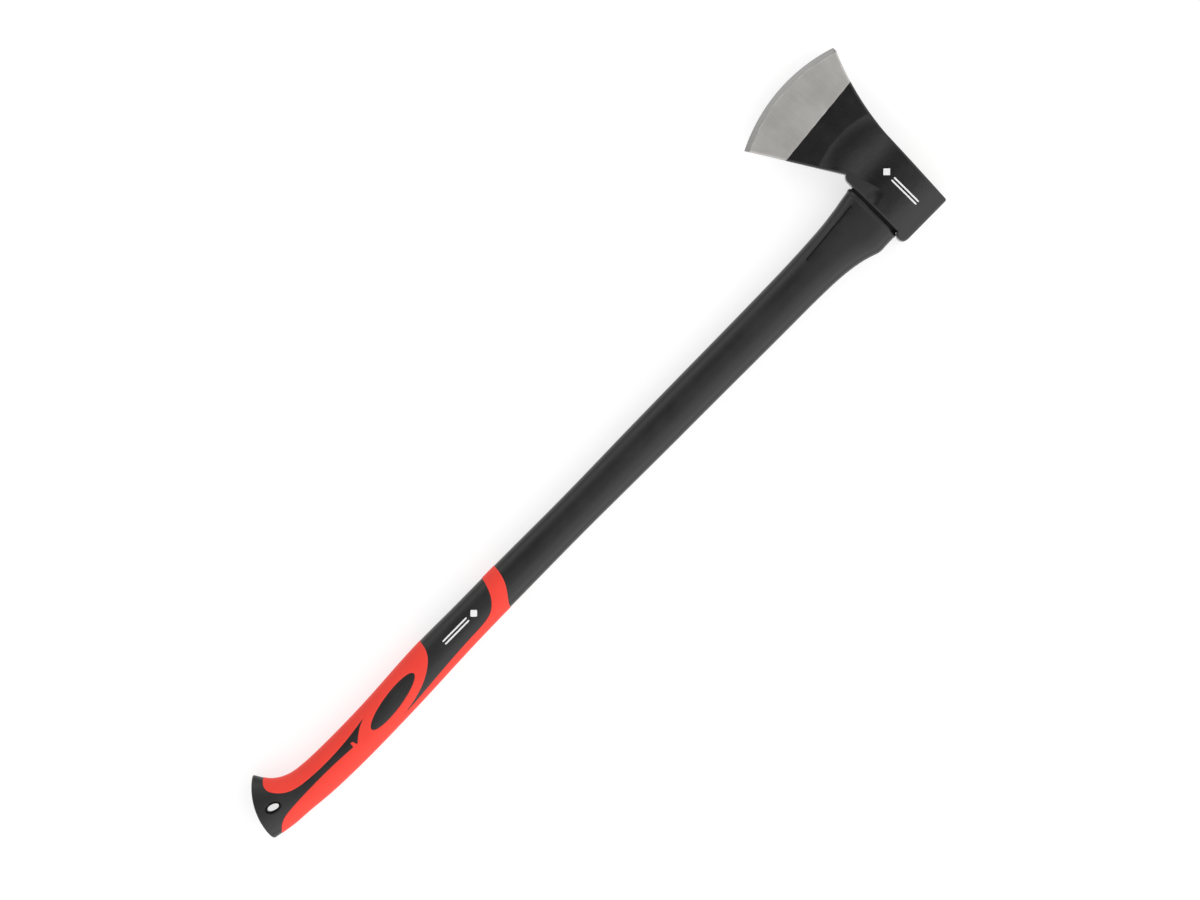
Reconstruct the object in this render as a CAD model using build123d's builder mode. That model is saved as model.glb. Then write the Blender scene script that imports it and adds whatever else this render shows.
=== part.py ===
from build123d import *

# Splitting maul, 900 mm class: a forged head with a fan-shaped bit on a moulded two-colour handle
# with a glass fibre core. It lies on its cheek: +X towards the cutting edge, +Y towards the butt,
# +Z up. The origin is under the middle of the whole tool, at the height of its lower cheek.
# "Reach" is a distance along the handle from the butt. The other coordinate of the side plane is
# measured from the handle's axis, positive towards the cutting edge and negative towards the poll.

import os
from math import cos, pi, radians, sin, sqrt, tan

os.makedirs("parts", exist_ok=True)

# ---------------------------------------------------------------- driving dimensions (mm, degrees)
OVERALL_LENGTH = 927.0              # butt to the toe of the bit
EDGE_DISTANCE = 148.0               # handle axis to the crown of the cutting edge
POLL_DISTANCE = 43.0                # handle axis to the poll face
HEAD_HALF_THICKNESS = 25.0          # at the eye, the thickest place

EDGE_RADIUS = 172.5                 # of the cutting edge, seen square to the cheek
EDGE_CENTRE = (872.0, EDGE_DISTANCE - EDGE_RADIUS)
HEEL_REACH = 796.5
BEARD_NOTCH = (848.5, 44.0)         # where the beard meets the lug beside the collar
UNDERSIDE_REACH = 843.5             # underside of the head round the eye
TOP_REACH = 901.0                   # top face of the head, on the handle's axis
TOP_SLOPE = 3.0                     # lean of the top face, rising towards the edge
NECK_DISTANCE = 43.5                # where the straight top face turns into the fan
HEAD_ROUND = 2.0
EYE_HALF_SIZES = ((25.8, 12.3), (28.4, 14.4))   # below the underside and above the top
EYE_REACHES = (832.0, 912.0)

COLLAR_REACH = 841.0                # end of the collar, under the head
COLLAR_ROUND = 1.2
BUTT_ROUND = 1.0
TENON_HALF_SIZE = (24.5, 11.0)      # the jacket's oval inside the eye
CORE_SIZE = (26.0, 15.0)            # glass fibre bar, with rounded corners
CORE_CORNER = 6.0
CORE_REACH = 66.0                   # where the bar starts; it ends level with the resin
RESIN_BELOW_TOP = 1.5
RING_INSET = 1.6                    # sealing ring, in from the collar's outline

GRIP_DEPTH = 2.0                    # of the recess that the red rubber fills
GRIP_PROUD = 0.3                    # rubber above the black plastic
GROOVE_ENDS = ((761.0, 12.6), (829.0, 18.6))    # long groove in each cheek of the collar
GROOVE_WIDTH = 2.2
GROOVE_DEPTH = 1.2

SLOT_CENTRE = (21.5, 7.6)           # lanyard slot in the butt
SLOT_SIZE = (15.5, 6.6)
SLOT_TILT = -17.0

HANDLE_X = (POLL_DISTANCE - EDGE_DISTANCE) / 2
BUTT_Y = OVERALL_LENGTH / 2
CUT = 30.0                          # half height of a cutting block, more than any half thickness

# ---------------------------------------------------------------- planes
# The side plane is the tool's plane of symmetry: its x is reach, its y is towards the edge.
side = Plane(origin=(HANDLE_X, BUTT_Y, HEAD_HALF_THICKNESS), x_dir=(0, -1, 0), z_dir=(0, 0, 1))


def across(reach, distance=0.0):
    """Plane square to the handle at this reach: its x is towards the edge, its y is up."""
    return Plane(origin=side.from_local_coords((reach, distance, 0)), x_dir=(1, 0, 0), z_dir=(0, -1, 0))


# ---------------------------------------------------------------- the handle's outer shape
# Stations: reach, edge side, poll side, half thickness, squareness (2 is an ellipse).
# The first ones run on past the butt, where the hooked end is cut out of them.
STATIONS = [
    (-6.0, 74.0, -13.0, 16.5, 2.5),
    (10.0, 63.0, -16.0, 16.5, 2.5),
    (21.0, 54.0, -17.8, 16.2, 2.5),
    (29.0, 45.0, -18.8, 15.8, 2.5),
    (37.0, 34.0, -19.4, 15.2, 2.5),
    (45.0, 26.0, -20.0, 14.8, 2.5),
    (55.0, 20.8, -21.1, 14.5, 2.5),
    (70.0, 18.0, -22.6, 14.3, 2.5),
    (95.0, 17.0, -23.9, 14.5, 2.5),
    (130.0, 16.9, -24.4, 15.0, 2.5),
    (165.0, 17.8, -24.0, 15.4, 2.5),
    (200.0, 19.9, -23.2, 15.2, 2.5),
    (235.0, 20.7, -21.8, 14.6, 2.5),
    (280.0, 20.4, -20.2, 14.0, 2.5),
    (340.0, 20.0, -19.5, 13.6, 2.5),
    (420.0, 19.5, -19.2, 13.5, 2.5),
    (520.0, 20.6, -20.3, 13.8, 2.5),
    (620.0, 21.4, -21.0, 14.0, 2.5),
    (710.0, 22.1, -21.7, 14.2, 2.6),
    (760.0, 23.3, -22.4, 14.6, 2.7),
    (785.0, 24.6, -24.4, 15.2, 2.9),
    (802.0, 26.0, -27.7, 15.8, 3.1),
    (812.0, 27.3, -30.8, 16.2, 3.3),
    (818.0, 28.1, -32.6, 16.4, 3.4),
    (824.0, 29.2, -32.6, 16.6, 3.5),
    (832.0, 30.5, -32.3, 16.8, 3.6),
    (COLLAR_REACH, 32.0, -32.0, 17.0, 3.7),
]
OVAL_POINTS = 24
EYE_SQUARENESS = 2.4


def oval(reach, edge_side, poll_side, half_thickness, squareness):
    """Rounded section across the handle, between its edge side and its poll side."""
    middle = (edge_side + poll_side) / 2
    half_depth = (edge_side - poll_side) / 2
    points = []
    for i in range(OVAL_POINTS):
        angle = 2 * pi * i / OVAL_POINTS
        c, s = cos(angle), sin(angle)
        size = (abs(c) ** squareness + abs(s) ** squareness) ** (-1 / squareness)
        points.append((middle + half_depth * size * c, half_thickness * size * s))
    with BuildSketch(across(reach)) as section:
        with BuildLine():
            Spline(*points, periodic=True)
        make_face()
    return section.sketch


def handle_solid(grow):
    """The handle's outer shape, moved outwards by grow all round."""
    with BuildPart() as shape:
        loft([
            oval(reach, edge_side + grow, poll_side - grow, half_thickness + grow, squareness)
            for reach, edge_side, poll_side, half_thickness, squareness in STATIONS
        ])
    return shape.part


def oval_bar(reaches, first_half_size, last_half_size):
    """Straight or tapered oval bar along the handle's axis."""
    with BuildPart() as bar:
        loft([
            oval(reach, half_depth, -half_depth, half_thickness, EYE_SQUARENESS)
            for reach, (half_depth, half_thickness) in zip(reaches, (first_half_size, last_half_size))
        ])
    return bar.part


def edge_point(reach):
    """Point of the cutting edge at this reach, in the side plane."""
    return reach, EDGE_CENTRE[1] + sqrt(EDGE_RADIUS**2 - (reach - EDGE_CENTRE[0]) ** 2)


# ---------------------------------------------------------------- cutting blocks
# Everything on the tool's side of the slanted, rounded end face of the butt.
with BuildPart() as butt_trim:
    with BuildSketch(side):
        with BuildLine():
            end_face = ThreePointArc((42.0, 51.0), (6.6, 16.5), (0.0, -13.0))
            Polyline(end_face @ 1, (3.5, -20.5), (3.5, -CUT), (COLLAR_REACH, -60.0),
                     (COLLAR_REACH, 80.0), (42.0, 80.0), end_face @ 0)
        make_face()
    extrude(amount=CUT, both=True)

# The red rubber's outline, the same on both cheeks and carried round the handle's edges:
# a band at its upper end, a strip along the poll side, and two branches round the black tongue.
with BuildPart() as grip_region:
    with BuildSketch(side):
        with BuildLine():
            band = Spline((319.5, -CUT), (321.0, -19.5), (327.5, -9.5), (334.5, 1.5), (338.0, 14.0),
                          (338.5, CUT))
            Polyline(band @ 1, (331.0, 55.0), (33.0, 55.0), (34.0, 36.5))
            tongue = Spline((34.0, 36.5), (28.5, 29.5), (26.8, 24.5), (29.5, 18.8), (42.5, 8.0),
                            (62.0, 3.0), (90.0, 1.6), (118.0, 3.0), (144.5, 6.8))
            tip = Spline(tongue @ 1, (135.0, 3.2), (126.5, -3.0), (120.0, -7.6))
            tab = Polyline(tip @ 1, (120.0, -2.2), (116.8, -1.4), (116.8, -6.6))
            lower = Spline(tab @ 1, (95.0, -5.2), (60.0, -4.8), (33.0, -5.8), (18.0, -9.0), (9.0, -16.5))
            Polyline(lower @ 1, (4.0, -26.0), (12.0, -CUT), band @ 0)
        make_face()
        with Locations((175.6, -1.9)):
            Ellipse(34.0, 8.2, rotation=8.0, mode=Mode.SUBTRACT)
        with BuildLine():
            window = Spline((172.0, -19.9), (190.0, -18.2), (209.0, -12.8), (224.0, -3.2),
                            (233.0, 7.5), (235.7, 20.0))
            Polyline(window @ 1, (236.0, 45.0), (322.5, 45.0), (322.0, 20.5))
            Spline((322.0, 20.5), (318.0, 7.5), (311.0, -1.5), (302.5, -9.0), (292.0, -11.6),
                   (250.0, -14.3), (215.0, -17.5), window @ 0)
        make_face(mode=Mode.SUBTRACT)
    extrude(amount=CUT, both=True)

with BuildPart() as grip_pocket:
    add(grip_region.part)
    add(handle_solid(-GRIP_DEPTH), mode=Mode.SUBTRACT)

# A long shallow groove in both cheeks of the collar, on its edge side.
with BuildPart() as groove_pocket:
    with BuildSketch(side):
        groove_middle = (Vector(*GROOVE_ENDS[0]) + Vector(*GROOVE_ENDS[1])) / 2
        SlotCenterPoint(groove_middle, GROOVE_ENDS[1], GROOVE_WIDTH)
    extrude(amount=CUT, both=True)
    add(handle_solid(-GROOVE_DEPTH), mode=Mode.SUBTRACT)

# The tenon, the core and the resin all end on one plane, a little below the head's top face.
TOP_LEAN = tan(radians(TOP_SLOPE))
resin_top = Plane(origin=side.from_local_coords((TOP_REACH - RESIN_BELOW_TOP, 0, 0)),
                  z_dir=(-TOP_LEAN, -1, 0))
with BuildPart() as tenon:
    add(oval_bar((COLLAR_REACH - 5.0, EYE_REACHES[1]), TENON_HALF_SIZE, TENON_HALF_SIZE))
    split(bisect_by=resin_top, keep=Keep.BOTTOM)
eye = oval_bar(EYE_REACHES, *EYE_HALF_SIZES)

# ---------------------------------------------------------------- glass fibre core
with BuildPart() as fibreglass_core:
    with BuildSketch(across(CORE_REACH)):
        RectangleRounded(*CORE_SIZE, radius=CORE_CORNER)
    extrude(amount=EYE_REACHES[1] - CORE_REACH)
    split(bisect_by=resin_top, keep=Keep.BOTTOM)
fibreglass_core.part.label = "fibreglass_core"
export_step(fibreglass_core.part, "parts/fibreglass_core.step")

# ---------------------------------------------------------------- black handle jacket
with BuildPart() as handle_jacket:
    add(handle_solid(0))
    add(butt_trim.part, mode=Mode.INTERSECT)
    collar_rim = handle_jacket.edges().sort_by(Axis.Y)[0]
    fillet(collar_rim, COLLAR_ROUND)
    butt_rims = handle_jacket.edges().filter_by_position(Axis.Y, BUTT_Y - 36.0, BUTT_Y)
    fillet(butt_rims, BUTT_ROUND)
    with BuildSketch(side.offset(CUT)):
        with Locations(SLOT_CENTRE):
            SlotOverall(*SLOT_SIZE, rotation=SLOT_TILT)
    extrude(amount=-2 * CUT, mode=Mode.SUBTRACT)
    add(grip_pocket.part, mode=Mode.SUBTRACT)
    add(groove_pocket.part, mode=Mode.SUBTRACT)
    add(tenon.part)
    add(fibreglass_core.part, mode=Mode.SUBTRACT)
handle_jacket.part.label = "handle_jacket"
export_step(handle_jacket.part, "parts/handle_jacket.step")

# ---------------------------------------------------------------- red grip overmould
with BuildPart() as grip_overmould:
    add(handle_solid(GRIP_PROUD))
    add(grip_region.part, mode=Mode.INTERSECT)
    add(butt_trim.part, mode=Mode.INTERSECT)
    add(handle_solid(-GRIP_DEPTH), mode=Mode.SUBTRACT)
grip_overmould.part.label = "grip_overmould"
export_step(grip_overmould.part, "parts/grip_overmould.step")

# ---------------------------------------------------------------- forged head
poll_top = (TOP_REACH - POLL_DISTANCE * TOP_LEAN, -POLL_DISTANCE)
neck_top = (TOP_REACH + NECK_DISTANCE * TOP_LEAN, NECK_DISTANCE)
toe = edge_point(OVERALL_LENGTH)
heel = edge_point(HEEL_REACH)
poll_bottom = (UNDERSIDE_REACH, -POLL_DISTANCE)

# Half thickness at distances from the handle's axis: poll, eye, then the taper into the bit.
POLL_HALF = 20.5
TAPER = [(34.0, 20.4), (60.0, 13.4), (100.0, 9.8), (160.0, 8.0)]
# Half thickness of the ground bit at radii from the middle of the edge's arc. Its last facet
# is the narrow bevel at the edge.
BIT = [(60.0, 27.0), (100.0, 10.6), (167.5, 1.9), (EDGE_RADIUS, 0.15)]

with BuildPart() as maul_head:
    with BuildSketch(side):
        with BuildLine():
            top = Line(poll_top, neck_top)
            TangentArc(neck_top, toe, tangent=top % 1)
            ThreePointArc(toe, edge_point(865.0), heel)
            Line(heel, BEARD_NOTCH)
            ThreePointArc(BEARD_NOTCH, (845.0, 41.8), (UNDERSIDE_REACH, 37.5))
            Line((UNDERSIDE_REACH, 37.5), (UNDERSIDE_REACH, -32.0))
            ThreePointArc((UNDERSIDE_REACH, -32.0), (838.8, -37.5), poll_bottom)
            Line(poll_bottom, poll_top)
        make_face()
    extrude(amount=CUT, both=True)
    with BuildSketch(across(780.0)):
        with BuildLine():
            half = Line((-POLL_DISTANCE, 0.0), (-POLL_DISTANCE, POLL_HALF))
            Spline(half @ 1, (0.0, HEAD_HALF_THICKNESS), tangents=((1.0, 0.2), (1.0, 0.0)))
            Spline((0.0, HEAD_HALF_THICKNESS), *TAPER, tangents=((1.0, 0.0), (1.0, -0.03)))
            Line(TAPER[-1], (TAPER[-1][0], 0.0))
            mirror(about=Plane.XZ)
        make_face()
    extrude(amount=160.0, mode=Mode.INTERSECT)
    rims = maul_head.edges().filter_by(lambda rim: rim.center().X < EDGE_DISTANCE - 8.0 + HANDLE_X)
    fillet(rims.filter_by(Axis.Z, reverse=True), HEAD_ROUND)
    with BuildSketch(across(*EDGE_CENTRE)):
        with BuildLine():
            Polyline((0.0, -BIT[0][1]), (0.0, BIT[0][1]), *BIT,
                     *[(radius, -half_thickness) for radius, half_thickness in reversed(BIT)], close=True)
        make_face()
    revolve(axis=Axis(side.from_local_coords((*EDGE_CENTRE, 0)), (0, 0, 1)), mode=Mode.INTERSECT)
    add(eye, mode=Mode.SUBTRACT)
maul_head.part.label = "maul_head"
export_step(maul_head.part, "parts/maul_head.step")

# ---------------------------------------------------------------- cast resin in the eye
with BuildPart() as eye_resin:
    add(eye)
    split(bisect_by=across(UNDERSIDE_REACH), keep=Keep.TOP)
    split(bisect_by=resin_top, keep=Keep.BOTTOM)
    add(tenon.part, mode=Mode.SUBTRACT)
    add(fibreglass_core.part, mode=Mode.SUBTRACT)
eye_resin.part.label = "eye_resin"
export_step(eye_resin.part, "parts/eye_resin.step")

# ---------------------------------------------------------------- sealing ring under the head
_, edge_side, poll_side, half_thickness, squareness = STATIONS[-1]
with BuildPart() as sealing_ring:
    loft([
        oval(reach, edge_side - RING_INSET, poll_side + RING_INSET, half_thickness - RING_INSET, squareness)
        for reach in (COLLAR_REACH, UNDERSIDE_REACH)
    ])
    add(tenon.part, mode=Mode.SUBTRACT)
sealing_ring.part.label = "sealing_ring"
export_step(sealing_ring.part, "parts/sealing_ring.step")
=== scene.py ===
from math import cos, hypot, pi, radians, sin, sqrt, tan

import bmesh
import bpy
import numpy as np
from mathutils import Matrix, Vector


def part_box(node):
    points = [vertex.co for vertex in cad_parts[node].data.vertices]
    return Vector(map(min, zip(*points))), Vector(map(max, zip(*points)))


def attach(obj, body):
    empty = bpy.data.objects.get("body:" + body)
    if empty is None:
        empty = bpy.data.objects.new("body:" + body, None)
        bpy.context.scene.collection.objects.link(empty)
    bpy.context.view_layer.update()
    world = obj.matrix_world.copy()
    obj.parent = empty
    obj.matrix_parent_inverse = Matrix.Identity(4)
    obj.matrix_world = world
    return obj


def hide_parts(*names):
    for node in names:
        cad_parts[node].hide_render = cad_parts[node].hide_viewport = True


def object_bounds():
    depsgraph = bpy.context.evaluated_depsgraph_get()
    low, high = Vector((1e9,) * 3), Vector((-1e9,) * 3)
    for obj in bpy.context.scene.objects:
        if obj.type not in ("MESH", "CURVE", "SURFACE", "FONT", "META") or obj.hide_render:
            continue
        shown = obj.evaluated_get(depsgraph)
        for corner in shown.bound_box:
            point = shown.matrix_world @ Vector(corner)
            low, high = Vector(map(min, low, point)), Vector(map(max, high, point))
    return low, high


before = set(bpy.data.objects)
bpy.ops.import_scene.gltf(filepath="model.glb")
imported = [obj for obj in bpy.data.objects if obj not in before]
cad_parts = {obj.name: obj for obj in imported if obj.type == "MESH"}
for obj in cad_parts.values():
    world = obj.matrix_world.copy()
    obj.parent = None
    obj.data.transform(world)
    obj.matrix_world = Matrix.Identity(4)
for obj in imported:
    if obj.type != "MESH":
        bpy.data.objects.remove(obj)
cad_low, cad_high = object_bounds()

# A splitting maul lying on its cheek. Shapes are worked out in millimetres in the tool's own side plane:
# "reach" is measured along the handle from the butt, "distance" from the handle's axis, positive towards
# the cutting edge, and "height" from the plane of symmetry, which is level.

# ---------------------------------------------------------------- place in the frame
MM = 0.001
POLL_DISTANCE = 43.0
BUTT_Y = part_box("handle_jacket")[1].y
AXIS_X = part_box("maul_head")[0].x + POLL_DISTANCE * MM
MIDDLE_Z = (cad_low.z + cad_high.z) / 2

# ---------------------------------------------------------------- driving dimensions (mm, degrees)
COLLAR_REACH = 841.0
UNDERSIDE_REACH = 843.5
TOP_REACH = 901.0
TOP_LEAN = tan(radians(3.0))
TENON_HALF_SIZE = (24.5, 11.0)
CORE_HALF_SIZE = (13.0, 7.5)
CORE_CORNER = 6.0
CORE_REACH = 66.0
RESIN_BELOW_TOP = 1.5
CORE_PROUD = 0.25                   # the glass fibre's end stands this much above the cut plastic

# Handle sections: reach, edge side, poll side, half thickness, squareness (2 is an ellipse).
STATIONS = np.array([
    (-6.0, 74.0, -13.0, 16.5, 2.5),
    (10.0, 63.0, -16.0, 16.5, 2.5),
    (21.0, 54.0, -17.8, 16.2, 2.5),
    (29.0, 45.0, -18.8, 15.8, 2.5),
    (37.0, 32.2, -19.3, 15.2, 2.5),
    (45.0, 24.6, -19.9, 14.8, 2.5),
    (55.0, 19.7, -20.9, 14.5, 2.5),
    (70.0, 16.9, -22.3, 14.3, 2.5),
    (95.0, 15.7, -23.5, 14.5, 2.5),
    (130.0, 15.6, -24.0, 15.0, 2.5),
    (165.0, 16.6, -23.6, 15.4, 2.5),
    (200.0, 18.6, -22.8, 15.2, 2.5),
    (235.0, 20.0, -21.5, 14.6, 2.5),
    (280.0, 19.8, -20.1, 14.0, 2.5),
    (340.0, 20.0, -19.5, 13.6, 2.5),
    (420.0, 19.5, -19.2, 13.5, 2.5),
    (520.0, 20.6, -20.3, 13.8, 2.5),
    (620.0, 21.4, -21.0, 14.0, 2.5),
    (710.0, 22.1, -21.7, 14.2, 2.6),
    (760.0, 23.3, -22.4, 14.6, 2.7),
    (785.0, 24.6, -24.4, 15.2, 2.9),
    (802.0, 26.0, -27.7, 15.8, 3.1),
    (812.0, 27.3, -30.8, 16.2, 3.3),
    (818.0, 28.1, -32.6, 16.4, 3.4),
    (824.0, 29.2, -32.6, 16.6, 3.5),
    (832.0, 30.5, -32.3, 16.8, 3.6),
    (COLLAR_REACH, 32.0, -32.0, 17.0, 3.7),
])
END_FACE = ((42.0, 51.0), (6.6, 16.5), (0.0, -13.0))    # three points of the butt's slanted end, an arc
END_CORNER_SLOPE = 0.467            # its corner on the poll side, past the arc's last point
END_CORNER_BLEND = 2.0              # and the length over which the corner's slope sets in
BUTT_ROUND = 1.6
COLLAR_ROUND = 0.7
COLLAR_LIP = 0.6                    # low bead just before the collar's end
COLLAR_LIP_BACK = 2.6               # its middle is this far from the end
COLLAR_LIP_WIDTH = 1.1
EYE_SQUARENESS = 2.4

GRIP_PROUD = 0.3
GRIP_RIM_PROUD = 0.05               # what is left of that at the very rim
GRIP_EDGE = 0.5                     # width of the rubber's rounded rim
GRIP_THICKNESS = 1.5
GRIP_END_REACH = 345.0              # all of the rubber is below this reach
RECESS_DEPTH = 1.6
PAD = ((176.2, -2.6), (34.0, 8.3), 8.0)     # oval black pad: centre, half size, tilt
GROOVE_ENDS = ((763.0, 11.8), (829.0, 17.8))        # of the long groove in the collar's side
GROOVE_HALF_WIDTH = 1.7
GROOVE_RIM = 0.5                    # the groove reaches its depth this far inside its outline
GROOVE_DEPTH = 2.1
SLOT_CENTRE = (21.5, 7.6)
SLOT_HALF_LENGTH = 6.4
SLOT_HALF_WIDTH = 3.2
SLOT_TILT = -17.0
SLOT_FLARE = 2.2                    # the slot's mouth widens by this much
SLOT_SINK = 5.0                     # and this far down
SLOT_FLARE_BEND = 1.6               # 1 would be a plain chamfer, more is rounder
SLOT_FLARE_STEPS = (1.0, 0.6, 0.25, 0.0)    # shares of the flare where the skin is cut

# Printed marks: the diamond's centre, then the start and end of the pair of bars.
GRIP_PRINT = ((292.0, 1.5), (252.0, 1.8), (283.5, 1.8))
HEAD_PRINT = ((877.0, 17.5), (876.4, 8.0), (876.4, -24.5))
DIAMOND_HALF_DIAGONAL = 4.6
BAR_HALF_WIDTH = 0.8
BARS_HALF_GAP = 1.75                # from the pair's middle to the middle of a bar

# Head, in the side plane.
EDGE_RADIUS = 172.5
EDGE_CENTRE = (872.0, -24.5)
HEEL_REACH = 795.0
TOE_REACH = 926.9
TOP_MIDDLE = (909.7, 83.0)          # a point of the hollow top outline between neck and toe
TOP_END = (928.6, 138.5)            # where that outline would end, if the toe weren't blunted
BEARD_NOTCH = (847.4, 44.0)
LUG_DISTANCE = 37.5                 # where the lug beside the beard's notch starts
LUG_MIDDLE = (845.0, 41.8)
NECK_DISTANCE = 43.5                # where the top outline's straight stretch ends
LIP_DISTANCE = -30.2                # where the lip at the poll starts, just inside the collar's side
LIP_MIDDLE = (838.9, -37.5)
HEAD_ROUND = 2.0
HEAD_HALF_THICKNESS = 25.0
EYE_HALF_SIZES = ((25.8, 12.3), (28.4, 14.4))       # along the side plane and across, at two reaches
EYE_REACHES = (832.0, 912.0)
EYE_CHAMFER = 1.2
BEVEL_RADIUS = 167.5                # where the narrow honed bevel starts
PAINT_LINE = ((816.7, 94.6), (914.7, 103.8))        # where the paint ends and the bare steel starts
PAINT_WAVES = ((0.10, 0.45, 0.0), (0.05, 1.7, 1.0))     # of that line: size, radians per mm, phase
PAINT_RIM = 0.35                    # the paint runs out over this width
PAINT_THICKNESS = 0.15
# Half thickness at distances from the handle's axis.
CHEEK = [(-43.0, 20.5), (-32.0, 22.4), (-18.0, 24.2), (0.0, 24.9), (16.0, 24.1), (34.0, 20.4),
         (46.0, 16.7), (60.0, 13.4), (78.0, 11.2), (100.0, 9.8), (160.0, 8.0)]
# Half thickness of the ground bit at radii from the middle of the edge's arc.
BIT = [(60.0, 27.0), (100.0, 10.6), (BEVEL_RADIUS, 1.9), (EDGE_RADIUS, 0.15)]
BIT_BLEND = 2.5                     # the two profiles blend where they are closer than this
# Forging draft: the cheek falls away below a slanted ridge beside the underside.
DRAFT = 0.2
RIDGE = (852.0, 41.0)
RIDGE_SLOPE = 0.30
DRAFT_START = (2.0, 14.0)           # distance from the axis where it sets in, and over how much
DRAFT_END = (60.0, 16.0)            # where it has gone, and over how much


# ---------------------------------------------------------------- curves
HALVINGS = 40                       # steps of a search, enough for any accuracy that counts
BLOCK = 4000                        # points measured at a time, which limits the memory
TINY = 1e-12                        # stands in for 0 where a division needs it


class Curve:
    """Natural cubic spline through values at given places."""

    def __init__(self, at, values):
        self.at, self.values = np.asarray(at, float), np.asarray(values, float)
        count, gap = len(self.at), np.diff(self.at)
        system, right = np.eye(count), np.zeros(self.values.shape)
        rise = np.diff(self.values, axis=0) / gap[:, None]
        for i in range(1, count - 1):
            system[i, i - 1:i + 2] = gap[i - 1], 2 * (gap[i - 1] + gap[i]), gap[i]
            right[i] = 6 * (rise[i] - rise[i - 1])
        self.bend = np.linalg.solve(system, right)

    def __call__(self, where):
        where = np.asarray(where, float)
        i = np.clip(np.searchsorted(self.at, where, "right") - 1, 0, len(self.at) - 2)
        gap = (self.at[i + 1] - self.at[i])[..., None]
        before = where[..., None] - self.at[i][..., None]
        after = self.at[i + 1][..., None] - where[..., None]
        return ((self.bend[i] * after**3 + self.bend[i + 1] * before**3) / (6 * gap)
                + (self.values[i] / gap - self.bend[i] * gap / 6) * after
                + (self.values[i + 1] / gap - self.bend[i + 1] * gap / 6) * before)


def line_through(points, step=0.8):
    """Smooth line through a few points of the side plane, as points about step apart."""
    points = np.array(points, float)
    at = np.concatenate([[0.0], np.cumsum(np.hypot(*np.diff(points, axis=0).T))])
    return Curve(at, points)(np.linspace(0.0, at[-1], int(at[-1] / step) + 2))


def circle_through(a, b, c):
    """Centre and radius of the circle through three points."""
    (ax, ay), (bx, by), (cx, cy) = a, b, c
    d = 2 * (ax * (by - cy) + bx * (cy - ay) + cx * (ay - by))
    a2, b2, c2 = ax * ax + ay * ay, bx * bx + by * by, cx * cx + cy * cy
    x = (a2 * (by - cy) + b2 * (cy - ay) + c2 * (ay - by)) / d
    y = (a2 * (cx - bx) + b2 * (ax - cx) + c2 * (bx - ax)) / d
    return x, y, hypot(ax - x, ay - y)


def meeting(inside, outside, gap):
    """Where gap changes from negative to positive between two places, for all rows at once."""
    for _ in range(HALVINGS):
        middle = (inside + outside) / 2
        beyond = gap(middle) > 0
        outside, inside = np.where(beyond, middle, outside), np.where(beyond, inside, middle)
    return inside


def inside_distance(points, outline):
    """Signed distance of points to a closed outline in the side plane, positive inside it."""
    step = np.roll(outline, -1, axis=0) - outline
    length2 = np.maximum((step**2).sum(1), TINY)
    found = np.empty(len(points))
    for first in range(0, len(points), BLOCK):
        away = points[first:first + BLOCK, None] - outline[None]
        share = np.clip((away * step).sum(2) / length2, 0, 1)
        nearest = np.sqrt(((away - share[..., None] * step) ** 2).sum(2).min(1))
        above = away[..., 1] < 0
        crosses = above != np.roll(above, -1, axis=1)
        rise = np.where(np.abs(step[:, 1]) < TINY, TINY, step[:, 1])
        left = away[..., 0] < step[:, 0] * away[..., 1] / rise
        odd = (crosses & left).sum(1) % 2 == 1
        found[first:first + BLOCK] = np.where(odd, nearest, -nearest)
    return found


def smooth(x):
    """Eased step from 0 to 1."""
    x = np.clip(x, 0, 1)
    return x * x * (3 - 2 * x)


# ---------------------------------------------------------------- meshes
# A table has one row for each point: reach, distance, height, the outward normal, then values that
# outlines are cut along.
NORMAL = slice(3, 6)
FIRST_VALUE = 6
ON_THE_CUT = 1e-5                   # a point this near to a cut counts as just above it


def ring_table(grid, *values):
    """Table of a tube made of rings, with its faces. The grid is rings by points round by three."""
    along = np.gradient(grid, axis=0)
    around = np.roll(grid, -1, axis=1) - np.roll(grid, 1, axis=1)
    normal = np.cross(around, along)
    normal /= np.maximum(np.linalg.norm(normal, axis=2, keepdims=True), TINY)
    columns = [grid.reshape(-1, 3), normal.reshape(-1, 3)] + [v.reshape(-1, 1) for v in values]
    rings, count = grid.shape[:2]
    here = (np.arange(rings - 1)[:, None] * count + np.arange(count)[None]).ravel()
    beside = (np.arange(rings - 1)[:, None] * count + (np.arange(count)[None] + 1) % count).ravel()
    faces = np.stack([here, beside, beside + count, here + count], axis=1).tolist()
    return np.concatenate(columns, axis=1), faces


def cap(first, count, turned):
    """Faces that close a ring which is the same above and below the plane of symmetry."""
    faces = [[0, 1, count - 1], [count // 2 - 1, count // 2, count // 2 + 1]]
    faces += [[i, i + 1, count - 1 - i, count - i] for i in range(1, count // 2 - 1)]
    return [[first + i for i in (face if turned else face[::-1])] for face in faces]


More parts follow.
